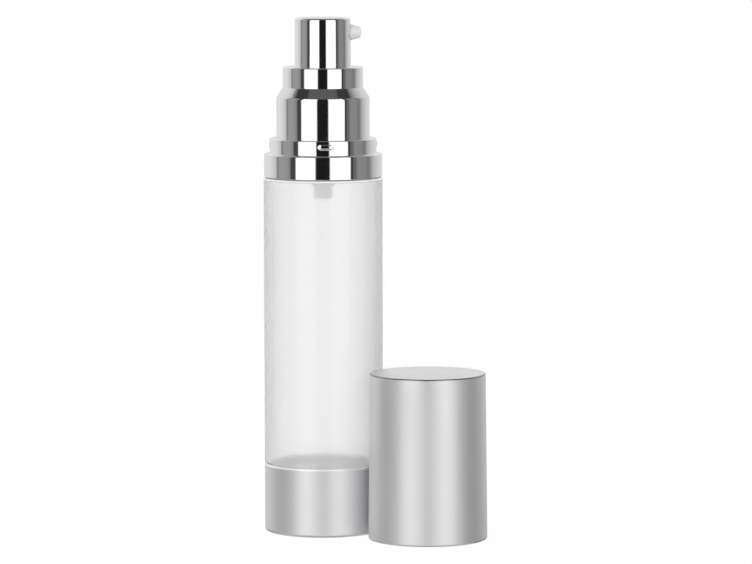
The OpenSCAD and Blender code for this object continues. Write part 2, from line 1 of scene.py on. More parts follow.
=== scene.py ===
from math import atan2, cos, hypot, pi, radians, sin, tan

import bmesh
import bpy
from mathutils import Matrix, Vector


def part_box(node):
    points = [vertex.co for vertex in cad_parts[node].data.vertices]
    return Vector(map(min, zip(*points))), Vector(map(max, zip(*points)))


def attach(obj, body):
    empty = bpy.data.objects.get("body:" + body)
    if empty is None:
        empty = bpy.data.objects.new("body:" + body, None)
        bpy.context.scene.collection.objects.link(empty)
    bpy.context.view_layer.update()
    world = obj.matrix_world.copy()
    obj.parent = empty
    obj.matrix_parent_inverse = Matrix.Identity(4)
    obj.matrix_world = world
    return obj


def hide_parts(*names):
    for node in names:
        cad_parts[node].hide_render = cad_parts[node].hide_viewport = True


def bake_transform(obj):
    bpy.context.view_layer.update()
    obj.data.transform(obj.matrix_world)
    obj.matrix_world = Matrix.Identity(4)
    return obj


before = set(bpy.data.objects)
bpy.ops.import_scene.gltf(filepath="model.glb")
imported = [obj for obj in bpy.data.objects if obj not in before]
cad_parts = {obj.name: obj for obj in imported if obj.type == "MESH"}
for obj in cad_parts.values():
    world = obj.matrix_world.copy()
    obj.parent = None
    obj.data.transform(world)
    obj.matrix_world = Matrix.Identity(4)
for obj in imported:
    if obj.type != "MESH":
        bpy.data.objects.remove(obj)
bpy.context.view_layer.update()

# Outlines are in millimetres, and meshes in metres
MM = 0.001
SEGMENTS = 192
FINE_SEGMENTS = 320
TUBE_SEGMENTS = 384
SMALL_SEGMENTS = 96
SHARP_ANGLE = radians(28)
NORMAL_WEIGHT = 60
# Clearance between pieces that sit in each other
SLIP = 0.05
# The photograph shows these heights a little off the CAD solids'
CUP_RISE = 0.2
CAP_RISE = 0.15
FOLLOWER_DROP = 0.5
COLLAR_GAP = 0.25


def box_mm(node):
    """Lowest and highest corner of a CAD node, in millimetres."""
    low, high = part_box(node)
    return low / MM, high / MM


tube_low, tube_high = box_mm("bottle_tube")
cup_high = box_mm("base_cup")[1]
collar_low, collar_high = box_mm("collar_ring")
shroud_low, shroud_high = box_mm("shroud")
button_low, button_high = box_mm("button_shell")
nozzle_low, nozzle_high = box_mm("nozzle_tip")
follower_low, follower_high = box_mm("follower_piston")
cap_low, cap_high = box_mm("overcap")
spring_low, spring_high = box_mm("return_spring")
housing_low, housing_high = box_mm("pump_housing")

# Tube and base cup
TUBE_R = tube_high.x
TUBE_WALL = 2.0
TUBE_TOP_Z = collar_low.z - COLLAR_GAP
TUBE_EDGE_R = 0.5
SHOULDER_T = 0.6
NECK_R = 12.95
NECK_WALL = 1.4
CUP_WALL = 0.85
CUP_FLOOR_Z = 1.8
CUP_TOP_Z = cup_high.z + CUP_RISE
FOOT_RECESS = 0.6
FOOT_RING_R = 13.45
VENT_R = 1.2
RIM_BEVEL_W = 0.15
RIM_BEVEL_H = 0.5

# Follower piston, whose lips and crown show through the tube
FOLLOWER_RIM_R = follower_high.x
FOLLOWER_LAND_R = FOLLOWER_RIM_R - 0.6
FOLLOWER_SKIRT_R = FOLLOWER_LAND_R - 1.3
FOLLOWER_WEB = 1.5
FOLLOWER_TOP_Z = follower_high.z - FOLLOWER_DROP
CROWN_DROP = 0.3
CROWN_R = FOLLOWER_RIM_R - 1.6
LIP_DROP = 0.9
LIP_W = 0.8
HUB_R = 7.4
WELL_R = 3.65
WELL_H = 3.6
RIB_COUNT = 6
RIB_T = 0.9

# Pump housing, whose spout shows under the shoulder
HOUSING_R = NECK_R - NECK_WALL - SLIP
HOUSING_WALL = 1.0
HOUSING_LOW_Z = TUBE_TOP_Z - SHOULDER_T
HOUSING_FLANGE_Z = housing_low.z + 12.65
HOUSING_FLANGE_T = 1.2
SPOUT_R = 2.6
SPOUT_COLLAR_R = 3.25
SPOUT_COLLAR_Z = housing_low.z + 3.45
INLET_HOLE_R = 1.0
INLET_POCKET_R = 2.15
INLET_SEAT_Z = housing_low.z + 4.0
CHAMBER_R = 5.5
CHAMBER_Z = housing_low.z + 8.5
BARREL_R = 6.6
HOUSING_RIBS = 4
HOUSING_RIB_T = 1.0
HOUSING_RIB_H = 5.0
STOP_RIBS = 3
STOP_R = 1.2
STOP_T = 0.8

# Collar and shroud
TIER1_R = collar_high.x
TIER1_Z = collar_low.z + 6.45
TIER2_R = TIER1_R - 1.6
TIER2_Z = collar_high.z
COLLAR_WALL = 1.0
BEAD_Z = TIER1_Z + 2.65
BEAD_PROUD = 0.2
BEAD_HALF_W = 2.1
BEAD_HALF_H = 0.85
BEAD_EDGE = 0.6
BEAD_STRAIGHT = 0.68
BEAD_TURN = radians(4.1)
BEAD_ROWS = 22
SLEEVE_R = 13.15
SLEEVE_TOP_Z = TIER2_Z + 11.4
THROAT_R = 11.3
THROAT_Z = SLEEVE_TOP_Z + 2.95
SHROUD_Z = shroud_high.z
SHROUD_BORE_R = 8.2
SHROUD_WALL = 1.0
GUIDE_SLEEVE_H = 9.5
GUIDE_SLEEVE_WALL = 0.9

# Button and nozzle
BUTTON_R = button_high.x
BUTTON_TOP_R = BUTTON_R - 0.1
BUTTON_Z = button_high.z
BUTTON_FOOT_Z = button_low.z
BUTTON_WALL = 0.8
BUTTON_TOP_T = 0.9
BUTTON_EDGE_R = 0.7
NOZZLE_Z = (nozzle_low.z + nozzle_high.z) / 2
NOZZLE_R = 2.25
NOZZLE_TIP_R = 1.5
NOZZLE_HOLE_R = 2.42
NOZZLE_HOLE_L = 10
NOZZLE_SHANK_R = 1.9
NOZZLE_START_X = nozzle_low.x
NOZZLE_END_X = nozzle_high.x
NOZZLE_SHOULDER_X = 7.0
NOZZLE_DOME = 0.25
ORIFICE_R = 0.55
ORIFICE_DEPTH = 3.0

# Overcap, standing on its mouth
CAP_X = (cap_low.x + cap_high.x) / 2
CAP_Y = (cap_low.y + cap_high.y) / 2
CAP_R = (cap_high.x - cap_low.x) / 2
CAP_TOP_R = CAP_R - 0.5
CAP_H = cap_high.z + CAP_RISE
CAP_BORE_R = 15.2
CAP_BORE_H = 5.5
CAP_INNER_TOP_R = 14.9
CAP_TOP_T = 1.5
CAP_EDGE_R = 0.35
CAP_FOOT_R = 0.7

# Return spring
SPRING_R = 3.6
SPRING_WIRE_R = 0.35
SPRING_TURNS = 7
SPRING_END_PITCH = 1.2
SPRING_RINGS = 24
SPRING_SIDES = 12


# Outlines

def filleted(corners, steps=7):
    """Outline with an arc at each corner (r, z, fillet radius)."""
    outline = []
    for i, (r, z, fillet) in enumerate(corners):
        if not fillet:
            outline.append((r, z))
            continue
        corner = Vector((r, z))
        before = (Vector(corners[i - 1][:2]) - corner).normalized()
        after = (Vector(corners[(i + 1) % len(corners)][:2]) - corner).normalized()
        half = before.angle(after) / 2
        centre = corner + (before + after).normalized() * fillet / sin(half)
        start = corner + before * fillet / tan(half) - centre
        end = corner + after * fillet / tan(half) - centre
        first = atan2(start.y, start.x)
        turn = (atan2(end.y, end.x) - first + pi) % (2 * pi) - pi
        for k in range(steps + 1):
            angle = first + turn * k / steps
            outline.append((centre.x + fillet * cos(angle), centre.y + fillet * sin(angle)))
    return outline


def rows(r, low, high, count):
    """Points up a wall, for relief that is added to it."""
    return [(r, low + (high - low) * k / count) for k in range(count + 1)]


# Meshes

def shaded(name, mesh):
    """A smooth object whose flat stretches stay flat."""
    mesh.polygons.foreach_set("use_smooth", [True] * len(mesh.polygons))
    mesh.set_sharp_from_angle(angle=SHARP_ANGLE)
    piece = bpy.data.objects.new(name, mesh)
    bpy.context.scene.collection.objects.link(piece)
    weighted = piece.modifiers.new("normals", "WEIGHTED_NORMAL")
    weighted.keep_sharp = True
    weighted.weight = NORMAL_WEIGHT
    return piece


def turned_mesh(name, outline, segments=SEGMENTS, relief=None):
    """Mesh of an outline turned round Z; relief(angle, r, z) gives what is added to the radius."""
    bm = bmesh.new()
    rings = []
    for r, z in outline:
        if r < 1e-6:
            rings.append([bm.verts.new((0, 0, z * MM))])
            continue
        ring = []
        for k in range(segments):
            angle = 2 * pi * k / segments
            out = r + (relief(angle, r, z) if relief else 0)
            ring.append(bm.verts.new((out * cos(angle) * MM, out * sin(angle) * MM, z * MM)))
        rings.append(ring)
    for low, high in zip(rings, rings[1:] + rings[:1]):
        if len(low) == len(high) == 1:
            continue
        for k in range(segments):
            corners = (low[k % len(low)], low[(k + 1) % len(low)],
                       high[(k + 1) % len(high)], high[k % len(high)])
            bm.faces.new(list(dict.fromkeys(corners)))
    bmesh.ops.recalc_face_normals(bm, faces=bm.faces)
    mesh = bpy.data.meshes.new(name)
    bm.to_mesh(mesh)
    bm.free()
    return mesh


def turned(name, outline, **options):
    """Smooth object of an outline turned round Z."""
    return shaded(name, turned_mesh(name, outline, **options))


def placed(piece, node, body, slot, *materials):
    """Gives a piece its materials and its body, and hides the CAD node that it stands for."""
    for material in materials:
        piece.data.materials.append(material)
    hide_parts(node)
    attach(piece, body)
    return piece


# Materials

CLEAR_COLOUR = (0.99, 0.992, 0.995, 1)


def new_material(name, **inputs):
    """A Principled material; inputs are values on its own sockets."""
    material = bpy.data.materials.new(name)
    material.use_nodes = True
    tree = material.node_tree
    shader = tree.nodes["Principled BSDF"]
    for key, value in inputs.items():
        shader.inputs[key.replace("_", " ")].default_value = value
    return material, tree, shader


def noise(tree, scale, detail=3.0, stretch=None):
    """Noise over the object's own coordinates, scale in features per metre."""
    coordinates = tree.nodes.new("ShaderNodeTexCoord")
    texture = tree.nodes.new("ShaderNodeTexNoise")
    texture.inputs["Scale"].default_value = scale
    texture.inputs["Detail"].default_value = detail
    source = coordinates.outputs["Object"]
    if stretch:
        mapping = tree.nodes.new("ShaderNodeMapping")
        mapping.inputs["Scale"].default_value = stretch
        tree.links.new(source, mapping.inputs["Vector"])
        source = mapping.outputs["Vector"]
    tree.links.new(source, texture.inputs["Vector"])
    return texture.outputs["Fac"]


def remapped(tree, value, low, high, start=0.3, end=0.7):
    """Carries a value's range from start to end over to low to high."""
    node = tree.nodes.new("ShaderNodeMapRange")
    node.inputs["From Min"].default_value = start
    node.inputs["From Max"].default_value = end
    node.inputs["To Min"].default_value = low
    node.inputs["To Max"].default_value = high
    tree.links.new(value, node.inputs["Value"])
    return node.outputs["Result"]


def maths(tree, operation, *values):
    """A math node; values are numbers or the sockets that they come from."""
    node = tree.nodes.new("ShaderNodeMath")
    node.operation = operation
    for socket, value in zip(node.inputs, values):
        if isinstance(value, (int, float)):
            socket.default_value = value
        else:
            tree.links.new(value, socket)
    return node.outputs[0]


def add_bump(tree, shader, height, strength, distance):
    """Fine relief for a shader; distance is in metres."""
    bump = tree.nodes.new("ShaderNodeBump")
    bump.inputs["Strength"].default_value = strength
    bump.inputs["Distance"].default_value = distance
    tree.links.new(height, bump.inputs["Height"])
    tree.links.new(bump.outputs["Normal"], shader.inputs["Normal"])


def chrome_material():
    """Vacuum-metallised plastic: a mirror with a faint unevenness of the moulding under it."""
    material, tree, shader = new_material(
        "chromed_plastic_visual", Base_Color=(0.84, 0.845, 0.855, 1), Metallic=1.0)
    haze = noise(tree, 420.0, 4.0)
    tree.links.new(remapped(tree, haze, 0.03, 0.065), shader.inputs["Roughness"])
    add_bump(tree, shader, noise(tree, 160.0, 1.0), 0.02, 0.0002)
    return material


def satin_material():
    """Silver lacquer: fine flakes in a satin coat."""
    material, tree, shader = new_material(
        "satin_silver_visual", Base_Color=(0.94, 0.94, 0.95, 1), Metallic=1.0)
    flake = noise(tree, 9000.0, 2.0)
    cloud = noise(tree, 60.0, 2.0)
    mixed = maths(tree, "MULTIPLY_ADD", flake, 0.6, cloud)
    tree.links.new(remapped(tree, mixed, 0.45, 0.51, 0.6, 1.0), shader.inputs["Roughness"])
    add_bump(tree, shader, flake, 0.12, 0.00003)
    return material


def painted_dark_edge_material():
    """Painted shade: darker grey metal on the lacquer where it turns over an edge, standing in for
    the dark line that the rounded edge reflects.
    """
    material, tree, shader = new_material(
        "painted_dark_edge_visual", Base_Color=(0.34, 0.34, 0.35, 1), Metallic=1.0)
    worn = noise(tree, 150.0, 3.0)
    tree.links.new(remapped(tree, worn, 0.3, 0.36), shader.inputs["Roughness"])
    add_bump(tree, shader, worn, 0.02, 0.00003)
    return material


def painted_highlight_bevel_material():
    """The cut bevel at the base cup's rim, paler and less metallic than the lacquer: a painted
    highlight for the bright line where the bevel catches the light from above.
    """
    material, tree, shader = new_material(
        "painted_highlight_bevel_visual", Base_Color=(0.93, 0.93, 0.94, 1), Metallic=0.25, Roughness=0.3)
    add_bump(tree, shader, noise(tree, 5000.0, 2.0), 0.1, 0.00003)
    return material


def frosted_material():
    """Clear plastic with a frosted skin, which veils what is behind it."""
    material, tree, shader = new_material(
        "frosted_plastic_visual", Base_Color=CLEAR_COLOUR, IOR=1.49, Transmission_Weight=0.84)
    frost = noise(tree, 6000.0, 2.0)
    tree.links.new(remapped(tree, frost, 0.18, 0.22), shader.inputs["Roughness"])
    return material


def polished_bore_material():
    """The same clear plastic on the tube's inside, which the follower wipes and is left smooth."""
    material, tree, shader = new_material(
        "polished_bore_visual", Base_Color=CLEAR_COLOUR, IOR=1.49, Transmission_Weight=1.0)
    wiped = noise(tree, 300.0, 2.0, (1, 1, 0.1))
    tree.links.new(remapped(tree, wiped, 0.06, 0.1), shader.inputs["Roughness"])
    return material


def frosted_rim_material():
    """The tube's thick top, where the frosted plastic scatters the light and looks milky."""
    material, tree, shader = new_material(
        "frosted_rim_visual", Base_Color=(0.97, 0.972, 0.975, 1), IOR=1.49,
        Subsurface_Weight=1.0, Subsurface_Radius=(1, 1, 1), Subsurface_Scale=0.002)
    frost = noise(tree, 6000.0, 2.0)
    tree.links.new(remapped(tree, frost, 0.3, 0.4), shader.inputs["Roughness"])
    return material


def nozzle_material():
    """The nozzle's frosted plastic, thick enough to look solid."""
    material, tree, shader = new_material(
        "frosted_nozzle_visual", Base_Color=(0.68, 0.685, 0.69, 1), IOR=1.49)
    frost = noise(tree, 4200.0, 3.0)
    tree.links.new(remapped(tree, frost, 0.28, 0.4), shader.inputs["Roughness"])
    add_bump(tree, shader, frost, 0.05, 0.00002)
    return material


def plastic_material(name, colour, rough_low, rough_high, scale, strength):
    """Plain moulded plastic or rubber with a fine uneven surface."""
    material, tree, shader = new_material(name, Base_Color=(*colour, 1), IOR=1.5)
    grain = noise(tree, scale, 3.0)
    tree.links.new(remapped(tree, grain, rough_low, rough_high), shader.inputs["Roughness"])
    add_bump(tree, shader, grain, strength, 0.00003)
    return material


def steel_material():
    """Drawn and polished steel of the spring and the valve balls."""
    material, tree, shader = new_material(
        "steel_visual", Base_Color=(0.62, 0.63, 0.65, 1), Metallic=1.0)
    drawn = noise(tree, 2500.0, 3.0, (1, 1, 6))
    tree.links.new(remapped(tree, drawn, 0.14, 0.3), shader.inputs["Roughness"])
    add_bump(tree, shader, drawn, 0.1, 0.00002)
    return material


chrome = chrome_material()
satin = satin_material()
painted_dark_edge = painted_dark_edge_material()
painted_highlight_bevel = painted_highlight_bevel_material()
frosted = frosted_material()
frosted_rim = frosted_rim_material()
polished_bore = polished_bore_material()
frosted_nozzle = nozzle_material()
natural = plastic_material("natural_plastic_visual", (0.98, 0.98, 0.97), 0.32, 0.45, 1800.0, 0.1)
seal = plastic_material("seal_plastic_visual", (0.93, 0.93, 0.93), 0.38, 0.52, 1500.0, 0.12)
gasket = plastic_material("gasket_rubber_visual", (0.78, 0.78, 0.77), 0.6, 0.75, 2600.0, 0.2)
steel = steel_material()


# Pieces

def make_tube():
    """Frosted tube with a thin shoulder and a neck, whose bore is left smooth."""
    bore_r = TUBE_R - TUBE_WALL
    skirt_r = TUBE_R - CUP_WALL - SLIP
    shoulder_low = TUBE_TOP_Z - SHOULDER_T
    outline = filleted([
        (bore_r, tube_low.z, 0.2), (skirt_r, tube_low.z, 0.3), (skirt_r, CUP_TOP_Z, 0),
        (TUBE_R, CUP_TOP_Z, 0.1), (TUBE_R, TUBE_TOP_Z, TUBE_EDGE_R), (NECK_R, TUBE_TOP_Z, 0.2),
        (NECK_R, tube_high.z, 0.1), (NECK_R - NECK_WALL, tube_high.z, 0.1),
        (NECK_R - NECK_WALL, shoulder_low, 0.1),
        (bore_r, shoulder_low, 0.15), (bore_r, CUP_TOP_Z, 0),
    ])
    mesh = turned_mesh("frosted_tube", outline, segments=TUBE_SEGMENTS)
    rim, smooth, plain = 1, 2, 3
    for face in mesh.polygons:
        radius = hypot(face.center.x, face.center.y) / MM
        height = face.center.z / MM
        if height > TUBE_TOP_Z - TUBE_EDGE_R:
            face.material_index = rim
        elif height > shoulder_low - 0.1 and radius < bore_r - 0.05:
            face.material_index = plain
        elif height < CUP_TOP_Z and radius < bore_r + 0.1:
            face.material_index = plain
        elif radius < bore_r + 0.1:
            face.material_index = smooth
    piece = shaded("frosted_tube", mesh)
    return placed(piece, "bottle_tube", "bottle", "frosted_plastic",
                  frosted, frosted_rim, polished_bore, natural)


def add_ribs(mesh, count, thickness, low, high):
    """Upright ribs round the axis, between two corners (r, z)."""
    bm = bmesh.new()
    bm.from_mesh(mesh)
    middle = Vector(((low[0] + high[0]) / 2, 0, (low[1] + high[1]) / 2)) * MM
    size = Vector((high[0] - low[0], thickness, high[1] - low[1])) * MM
    for k in range(count):
        turn = Matrix.Rotation(2 * pi * (k + 0.5) / count, 4, "Z")
        place = turn @ Matrix.Translation(middle) @ Matrix.Diagonal((*size, 1))
        bmesh.ops.create_cube(bm, size=1, matrix=place)
    bm.to_mesh(mesh)
    bm.free()


def make_follower():
    """Follower piston: two lips, a raised crown with a well, and ribs under it."""
    top = FOLLOWER_TOP_Z
    low = follower_low.z
    rim_r = FOLLOWER_RIM_R
    land_r = FOLLOWER_LAND_R
    skirt_r = FOLLOWER_SKIRT_R
    crown = top - CROWN_DROP
    lip = top - LIP_DROP
    well_floor = top - WELL_H
    boss_r = WELL_R + FOLLOWER_WEB
    boss_low = well_floor - FOLLOWER_WEB
    mesh = turned_mesh("pale_follower", filleted([
        (skirt_r, low, 0.1), (rim_r - 0.4, low, 0.1), (rim_r, low + 0.6, 0.3),
        (rim_r, low + 1.4, 0.3), (land_r, low + 2.2, 0.3), (land_r, lip - 3.1, 0.3),
        (rim_r, lip - 1.9, 0.3), (rim_r, lip - 0.5, 0.2), (rim_r - 0.2, lip, 0.08),
        (rim_r - LIP_W, lip, 0.15), (rim_r - LIP_W - 0.1, lip - 0.7, 0.2),
        (CROWN_R, lip - 0.7, 0.2), (CROWN_R, crown, 0.6),
        (HUB_R + 0.5, crown, 0.6), (HUB_R - 0.4, top, 0.5),
        (WELL_R, top, 0.3), (WELL_R, well_floor, 0.3), (0, well_floor, 0), (0, boss_low, 0),
        (boss_r, boss_low, 0.3), (boss_r, crown - FOLLOWER_WEB, 0.4),
        (skirt_r, crown - FOLLOWER_WEB, 0.6),
    ]))
    add_ribs(mesh, RIB_COUNT, RIB_T, (boss_r - FOLLOWER_WEB / 2, boss_low + 0.5),
             (skirt_r + 0.4, crown - FOLLOWER_WEB / 2))
    piece = shaded("pale_follower", mesh)
    return placed(piece, "follower_piston", "follower", "seal_plastic", seal)


def make_housing():
    """Pump housing: a pot in the neck, a spout under it and the pump's barrel inside."""
    low, high = housing_low.z, housing_high.z
    flange_top = HOUSING_FLANGE_Z + HOUSING_FLANGE_T
    pocket_low = INLET_SEAT_Z + INLET_POCKET_R - INLET_HOLE_R
    inner_r = HOUSING_R - HOUSING_WALL
    floor_z = HOUSING_LOW_Z + HOUSING_WALL
    mesh = turned_mesh("natural_housing", filleted([
        (INLET_HOLE_R, low, 0.1), (SPOUT_R, low, 0.35), (SPOUT_R, SPOUT_COLLAR_Z, 0.1),
        (SPOUT_COLLAR_R, SPOUT_COLLAR_Z, 0.15), (SPOUT_COLLAR_R, HOUSING_LOW_Z, 0.2),
        (HOUSING_R, HOUSING_LOW_Z, 0.2), (HOUSING_R, HOUSING_FLANGE_Z, 0.1),
        (housing_high.x, HOUSING_FLANGE_Z, 0.1), (housing_high.x, flange_top, 0.15),
        (inner_r, flange_top, 0.15), (inner_r, floor_z, 0.3), (BARREL_R, floor_z, 0.3),
        (BARREL_R, high, 0.15), (CHAMBER_R, high, 0.15), (CHAMBER_R, CHAMBER_Z, 0.2),
        (INLET_POCKET_R, CHAMBER_Z, 0.15), (INLET_POCKET_R, pocket_low, 0.2),
        (INLET_HOLE_R, INLET_SEAT_Z, 0.1),
    ]))
    add_ribs(mesh, HOUSING_RIBS, HOUSING_RIB_T, (BARREL_R - 0.3, floor_z - 0.3),
             (inner_r + 0.3, floor_z + HOUSING_RIB_H))
    add_ribs(mesh, STOP_RIBS, STOP_T, (STOP_R, CHAMBER_Z - STOP_T),
             (INLET_POCKET_R + 0.3, CHAMBER_Z))
    piece = shaded("natural_housing", mesh)
    return placed(piece, "pump_housing", "bottle", "natural_plastic", natural)


def make_base_cup():
    """Satin cup with a painted highlight on the bevel round its rim, unsilvered inside."""
    bore_r = TUBE_R - CUP_WALL
    outline = filleted([
        (VENT_R, FOOT_RECESS, 0.15), (FOOT_RING_R - FOOT_RECESS, FOOT_RECESS, 0.2),
        (FOOT_RING_R, 0, 0.2), (TUBE_R, 0, 0.95), (TUBE_R, CUP_TOP_Z - RIM_BEVEL_H, 0.06),
        (TUBE_R - RIM_BEVEL_W, CUP_TOP_Z, 0.06), (bore_r, CUP_TOP_Z, 0.06),
        (bore_r, CUP_FLOOR_Z, 0.3), (VENT_R, CUP_FLOOR_Z, 0.15),
    ])
    mesh = turned_mesh("satin_base_cup", outline)
    # Slot 1 holds the painted highlight of the rim bevel, and slot 2 holds the unsilvered inside
    rim, inside = 1, 2
    for face in mesh.polygons:
        radius = hypot(face.center.x, face.center.y) / MM
        height = face.center.z / MM
        if height > CUP_FLOOR_Z - 0.1 and radius < bore_r + 0.01:
            face.material_index = inside
        elif height > CUP_TOP_Z - RIM_BEVEL_H + 0.02:
            face.material_index = rim
    piece = shaded("satin_base_cup", mesh)
    return placed(piece, "base_cup", "bottle", "satin_silver", satin, painted_highlight_bevel, natural)


def bead_relief(angle, r, z):
    """The four low beads that grip the overcap, on the upper tier's wall."""
    if r < TIER2_R - 0.01:
        return 0
    off = (angle - BEAD_TURN + pi / 4) % (pi / 2) - pi / 4
    across = max(0, abs(off) * TIER2_R / BEAD_HALF_W - BEAD_STRAIGHT) / (1 - BEAD_STRAIGHT)
    up = (z - BEAD_Z) / BEAD_HALF_H
    inside = min(1, max(0, 1 - hypot(across, up)) / BEAD_EDGE)
    return BEAD_PROUD * inside ** 2 * (3 - 2 * inside)


def make_collar():
    """Chrome collar in two tiers; the upper one's wall has rows for the beads' relief."""
    reach = BEAD_HALF_H * 1.05
    wall = rows(TIER2_R, BEAD_Z - reach, BEAD_Z + reach, BEAD_ROWS)
    hole_r = SLEEVE_R + SLIP
    step_z = TIER1_Z - COLLAR_WALL
    lower = filleted([
        (TIER1_R - COLLAR_WALL, collar_low.z, 0.1), (TIER1_R, collar_low.z, 0.12),
        (TIER1_R, TIER1_Z, 0.25), (TIER2_R, TIER1_Z, 0.3), (TIER2_R, TIER2_Z, 0.35),
        (hole_r, TIER2_Z, 0.1), (hole_r, TIER2_Z - COLLAR_WALL, 0.1),
        (TIER2_R - COLLAR_WALL, TIER2_Z - COLLAR_WALL, 0.2),
        (TIER2_R - COLLAR_WALL, step_z, 0.2), (TIER1_R - COLLAR_WALL, step_z, 0.2),
    ])
    split = next(i for i, (r, z) in enumerate(lower) if r <= TIER2_R + 0.001 and z > BEAD_Z)
    outline = lower[:split] + wall + lower[split:]
    piece = turned("chrome_collar", outline, segments=FINE_SEGMENTS, relief=bead_relief)
    return placed(piece, "collar_ring", "bottle", "chromed_plastic", chrome)


def make_shroud():
    """Chrome sleeve, cone and throat, with the button's guide inside."""
    w = SHROUD_WALL
    guide_r = SHROUD_BORE_R + GUIDE_SLEEVE_WALL
    outline = filleted([
        (SLEEVE_R - w, shroud_low.z, 0.1), (shroud_high.x, shroud_low.z, 0.1),
        (shroud_high.x, shroud_low.z + 1, 0.1), (SLEEVE_R, shroud_low.z + 1, 0.1),
        (SLEEVE_R, SLEEVE_TOP_Z, 1.5), (THROAT_R, THROAT_Z, 0.25), (THROAT_R, SHROUD_Z, 0.4),
        (SHROUD_BORE_R, SHROUD_Z, 0.15), (SHROUD_BORE_R, SHROUD_Z - GUIDE_SLEEVE_H, 0.15),
        (guide_r, SHROUD_Z - GUIDE_SLEEVE_H, 0.15), (guide_r, SHROUD_Z - w, 0.2),
        (THROAT_R - w, SHROUD_Z - w, 0.2), (THROAT_R - w, THROAT_Z - 0.3, 0.2),
        (SLEEVE_R - w, SLEEVE_TOP_Z - 0.3, 0.3),
    ])
    return placed(turned("chrome_shroud", outline), "shroud", "bottle", "chromed_plastic", chrome)


def drilled(mesh, name, cutter_mesh):
    """The mesh with the cutter's volume taken out of it."""
    block = bpy.data.objects.new(name, mesh)
    cutter = bpy.data.objects.new(name + "_cutter", cutter_mesh)
    for made in (block, cutter):
        bpy.context.scene.collection.objects.link(made)
    cut = block.modifiers.new("hole", "BOOLEAN")
    cut.object = cutter
    cut.solver = "EXACT"
    evaluated = block.evaluated_get(bpy.context.evaluated_depsgraph_get())
    result = bpy.data.meshes.new_from_object(evaluated)
    for made in (block, cutter):
        bpy.data.objects.remove(made)
    return result


def button_normal(point, face_normal):
    """True normal of the button's surface at a point of a face that looks along face_normal."""
    radius = hypot(point.x, point.y)
    if radius < MM:
        return face_normal
    radial = Vector((point.x / radius, point.y / radius, 0))
    edge_r = (BUTTON_TOP_R - BUTTON_EDGE_R) * MM
    edge_z = (BUTTON_Z - BUTTON_EDGE_R) * MM
    facing = face_normal.dot(radial)
    if face_normal.z > 0.05 and facing > 0.05 and point.z > edge_z - 1e-6:
        return (radial * (radius - edge_r) + Vector((0, 0, point.z - edge_z))).normalized()
    if facing > 0.9:
        return radial
    if facing < -0.9:
        return -radial
    return face_normal


def make_button():
    """Chrome button, drilled for the nozzle, with true normals round the hole."""
    bore_r = BUTTON_TOP_R - BUTTON_WALL
    corners = [
        (bore_r, BUTTON_FOOT_Z, 0), (BUTTON_R, BUTTON_FOOT_Z, 0),
        (BUTTON_TOP_R, BUTTON_Z, BUTTON_EDGE_R), (0, BUTTON_Z, 0),
        (0, BUTTON_Z - BUTTON_TOP_T, 0), (bore_r, BUTTON_Z - BUTTON_TOP_T, 0),
    ]
    shell = turned_mesh("chrome_button", filleted(corners, steps=10))
    drill = [(0, 0), (NOZZLE_HOLE_R, 0), (NOZZLE_HOLE_R, NOZZLE_HOLE_L), (0, NOZZLE_HOLE_L)]
    hole = turned_mesh("nozzle_hole", drill, segments=SMALL_SEGMENTS)
    along_x(hole, NOZZLE_Z)
    mesh = drilled(shell, "chrome_button", hole)
    normals = [None] * len(mesh.loops)
    for face in mesh.polygons:
        face.use_smooth = True
        for loop in face.loop_indices:
            point = mesh.vertices[mesh.loops[loop].vertex_index].co
            normals[loop] = button_normal(point, face.normal)
    mesh.normals_split_custom_set(normals)
    piece = bpy.data.objects.new("chrome_button", mesh)
    bpy.context.scene.collection.objects.link(piece)
    return placed(piece, "button_shell", "button", "chromed_plastic", chrome)


def along_x(mesh, z):
    """Turns a mesh made round Z so that it runs along +X at a height in millimetres."""
    for vertex in mesh.vertices:
        x, y, up = vertex.co
        vertex.co = (up, y, z * MM - x)


def make_nozzle():
    """Frosted nozzle, whose shank runs into the button's core."""
    outline = filleted([
        (0, NOZZLE_END_X - ORIFICE_DEPTH, 0), (0, NOZZLE_START_X, 0),
        (NOZZLE_SHANK_R, NOZZLE_START_X, 0.2), (NOZZLE_SHANK_R, NOZZLE_SHOULDER_X, 0),
        (NOZZLE_R, NOZZLE_SHOULDER_X, 0.05), (NOZZLE_R, BUTTON_R, 0.1),
        (NOZZLE_TIP_R, NOZZLE_END_X - NOZZLE_DOME, 0.15),
        (ORIFICE_R, NOZZLE_END_X, 0.1), (ORIFICE_R, NOZZLE_END_X - ORIFICE_DEPTH, 0),
    ])
    mesh = turned_mesh("frosted_nozzle", outline, segments=SMALL_SEGMENTS)
    along_x(mesh, NOZZLE_Z)
    piece = shaded("frosted_nozzle", mesh)
    return placed(piece, "nozzle_tip", "button", "frosted_nozzle", frosted_nozzle)


def make_overcap():
    """Satin overcap, which tapers a little towards its top."""
    outline = filleted([
        (CAP_BORE_R, 0.3, 0), (CAP_BORE_R + 0.3, 0, 0.05), (CAP_R, 0, CAP_FOOT_R),
        (CAP_TOP_R, CAP_H, CAP_EDGE_R), (0, CAP_H, 0), (0, CAP_H - CAP_TOP_T, 0),
        (CAP_INNER_TOP_R, CAP_H - CAP_TOP_T, 0.6), (CAP_BORE_R - 0.1, CAP_BORE_H + 0.4, 0.05),
        (CAP_BORE_R, CAP_BORE_H, 0.05),
    ])
    mesh = turned_mesh("satin_overcap", outline)
    # Faces of the cap's rounded top edge take the painted dark edge: painted shade for the dark
    # line that the edge reflects
    edge = 1
    for face in mesh.polygons:
        if face.center.z > (CAP_H - CAP_EDGE_R) * MM and 0.05 < face.normal.z < 0.998:
            face.material_index = edge
    for vertex in mesh.vertices:
        vertex.co.x += CAP_X * MM
        vertex.co.y += CAP_Y * MM
    piece = shaded("satin_overcap", mesh)
    # The photograph shows no dark trace of the cap in the light through the frosted tube
    piece.visible_transmission = False
    return placed(piece, "overcap", "cap", "satin_silver", satin, painted_dark_edge)


